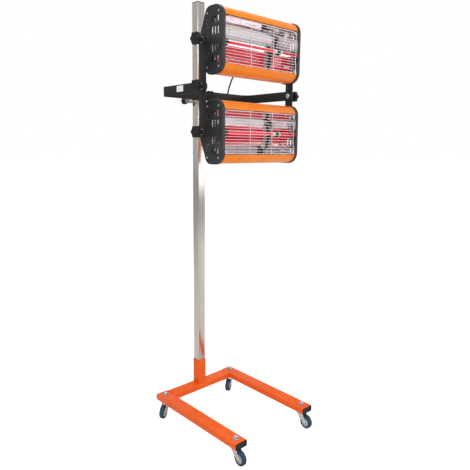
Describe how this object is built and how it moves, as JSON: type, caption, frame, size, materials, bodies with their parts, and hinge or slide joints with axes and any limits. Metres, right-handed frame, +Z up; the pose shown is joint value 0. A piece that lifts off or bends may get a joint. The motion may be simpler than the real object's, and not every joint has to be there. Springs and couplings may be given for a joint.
{
  "type": "infrared lamp",
  "caption": "Rolling infrared lamp: slotted orange heads with reflectors and wire guards on a black U bracket that slides and tilts on a square post.",
  "frame": {"origin": "on the floor under the middle of the lamp's outline", "axes": "+Z up, -Y towards where the heads shine, +X to the right of someone behind the post"},
  "size_m": [0.5596, 0.6, 1.8523],
  "materials": {
    "base_coat": "satin",
    "head_coat": "satin",
    "black_coat": "satin",
    "black_plastic": "satin",
    "stainless": "polished",
    "zinc": "satin",
    "tread": "matte",
    "hub_grey": "satin",
    "mirror": "polished",
    "quartz": "gloss",
    "lead_black": "matte"
  },
  "bodies": {
    "base": {"left_leg": "base_coat", "right_leg": "base_coat", "rear_bar": "base_coat", "post_socket": "base_coat", "left_leg_front_plug": "black_plastic", "left_leg_rear_plug": "black_plastic", "right_leg_front_plug": "black_plastic", "right_leg_rear_plug": "black_plastic", "front_left_stem": "zinc", "front_right_stem": "zinc", "rear_left_stem": "zinc", "rear_right_stem": "zinc", "post": "stainless", "post_cap": "black_plastic"},
    "front_left_caster": {"front_left_fork": "zinc"},
    "front_left_wheel": {"front_left_hub": "hub_grey", "front_left_tyre": "tread"},
    "front_right_caster": {"front_right_fork": "zinc"},
    "front_right_wheel": {"front_right_hub": "hub_grey", "front_right_tyre": "tread"},
    "rear_left_caster": {"rear_left_fork": "zinc"},
    "rear_left_wheel": {"rear_left_hub": "hub_grey", "rear_left_tyre": "tread"},
    "rear_right_caster": {"rear_right_fork": "zinc"},
    "rear_right_wheel": {"rear_right_hub": "hub_grey", "rear_right_tyre": "tread"},
    "collar": {"collar": "zinc", "collar_bolt": "zinc"},
    "collar_knob": {"collar_knob": "black_plastic"},
    "bracket": {"u_bracket": "black_coat", "left_arm_bolt": "zinc", "right_arm_bolt": "zinc"},
    "centre_knob": {"centre_knob": "black_plastic"},
    "middle_left_knob": {"middle_left_knob": "black_plastic"},
    "middle_right_knob": {"middle_right_knob": "black_plastic"},
    "side_bars": {"left_bar": "black_coat", "right_bar": "black_coat", "heads_lead": "lead_black"},
    "upper_head": {"upper_head_housing": "head_coat", "upper_head_left_cap": "black_plastic", "upper_head_right_cap": "black_plastic", "upper_head_reflector": "mirror", "upper_head_quartz_tube": "quartz", "upper_head_left_tube_clip": "black_coat", "upper_head_right_tube_clip": "black_coat", "upper_head_guard": "stainless", "upper_head_gland": "black_plastic"},
    "upper_left_knob": {"upper_left_knob": "black_plastic"},
    "upper_right_knob": {"upper_right_knob": "black_plastic"},
    "lower_head": {"lower_head_housing": "head_coat", "lower_head_left_cap": "black_plastic", "lower_head_right_cap": "black_plastic", "lower_head_reflector": "mirror", "lower_head_quartz_tube": "quartz", "lower_head_left_tube_clip": "black_coat", "lower_head_right_tube_clip": "black_coat", "lower_head_guard": "stainless", "lower_head_gland": "black_plastic"},
    "lower_left_knob": {"lower_left_knob": "black_plastic"},
    "lower_right_knob": {"lower_right_knob": "black_plastic"}
  },
  "joints": [
    {"name": "front_left_swivel", "type": "hinge", "parent": "base", "child": "front_left_caster", "pos_m": [-0.202, -0.23976, 0], "axis": [0, 0, 1], "continuous": true},
    {"name": "front_left_roll", "type": "hinge", "parent": "front_left_caster", "child": "front_left_wheel", "pos_m": [-0.20409, -0.26969, 0.03], "axis": [-0.9976, 0.0698, 0], "continuous": true},
    {"name": "front_right_swivel", "type": "hinge", "parent": "base", "child": "front_right_caster", "pos_m": [0.202, -0.23976, 0], "axis": [0, 0, 1], "continuous": true},
    {"name": "front_right_roll", "type": "hinge", "parent": "front_right_caster", "child": "front_right_wheel", "pos_m": [0.19991, -0.26969, 0.03], "axis": [-0.9976, 0.0698, 0], "continuous": true},
    {"name": "rear_left_swivel", "type": "hinge", "parent": "base", "child": "rear_left_caster", "pos_m": [-0.202, 0.24024, 0], "axis": [0, 0, 1], "continuous": true},
    {"name": "rear_left_roll", "type": "hinge", "parent": "rear_left_caster", "child": "rear_left_wheel", "pos_m": [-0.22744, 0.22434, 0.03], "axis": [-0.5299, 0.848, 0], "continuous": true},
    {"name": "rear_right_swivel", "type": "hinge", "parent": "base", "child": "rear_right_caster", "pos_m": [0.202, 0.24024, 0], "axis": [0, 0, 1], "continuous": true},
    {"name": "rear_right_roll", "type": "hinge", "parent": "rear_right_caster", "child": "rear_right_wheel", "pos_m": [0.17656, 0.22434, 0.03], "axis": [-0.5299, 0.848, 0], "continuous": true},
    {"name": "height_slide", "type": "slide", "parent": "base", "child": "collar", "axis": [0, 0, 1], "range_m": [-0.95, 0.35]},
    {"name": "collar_knob_turn", "type": "hinge", "parent": "collar", "child": "collar_knob", "pos_m": [-0.04, 0.26454, 1.44], "axis": [0, 1, 0], "continuous": true},
    {"name": "bracket_turn", "type": "hinge", "parent": "collar", "child": "bracket", "pos_m": [0, 0.24124, 1.456], "axis": [0, 1, 0], "range_deg": [-90, 90]},
    {"name": "centre_knob_turn", "type": "hinge", "parent": "bracket", "child": "centre_knob", "pos_m": [0, 0.17514, 1.456], "axis": [0, -1, 0], "continuous": true},
    {"name": "middle_left_knob_turn", "type": "hinge", "parent": "bracket", "child": "middle_left_knob", "pos_m": [-0.2423, -0.08246, 1.456], "axis": [-1, 0, 0], "continuous": true},
    {"name": "middle_right_knob_turn", "type": "hinge", "parent": "bracket", "child": "middle_right_knob", "pos_m": [0.2423, -0.08246, 1.456], "axis": [1, 0, 0], "continuous": true},
    {"name": "pair_tilt", "type": "hinge", "parent": "bracket", "child": "side_bars", "pos_m": [0, -0.08246, 1.456], "axis": [1, 0, 0], "range_deg": [-45, 45]},
    {"name": "upper_head_tilt", "type": "hinge", "parent": "side_bars", "child": "upper_head", "pos_m": [0, -0.08246, 1.62], "axis": [1, 0, 0], "range_deg": [-60, 60], "deforming": ["heads_lead"]},
    {"name": "upper_left_knob_turn", "type": "hinge", "parent": "upper_head", "child": "upper_left_knob", "pos_m": [-0.2423, -0.08246, 1.62], "axis": [-1, 0, 0], "continuous": true},
    {"name": "upper_right_knob_turn", "type": "hinge", "parent": "upper_head", "child": "upper_right_knob", "pos_m": [0.2423, -0.08246, 1.62], "axis": [1, 0, 0], "continuous": true},
    {"name": "lower_head_tilt", "type": "hinge", "parent": "side_bars", "child": "lower_head", "pos_m": [0, -0.08246, 1.292], "axis": [1, 0, 0], "range_deg": [-60, 60], "deforming": ["heads_lead"]},
    {"name": "lower_left_knob_turn", "type": "hinge", "parent": "lower_head", "child": "lower_left_knob", "pos_m": [-0.2423, -0.08246, 1.292], "axis": [-1, 0, 0], "continuous": true},
    {"name": "lower_right_knob_turn", "type": "hinge", "parent": "lower_head", "child": "lower_right_knob", "pos_m": [0.2423, -0.08246, 1.292], "axis": [1, 0, 0], "continuous": true}
  ]
}
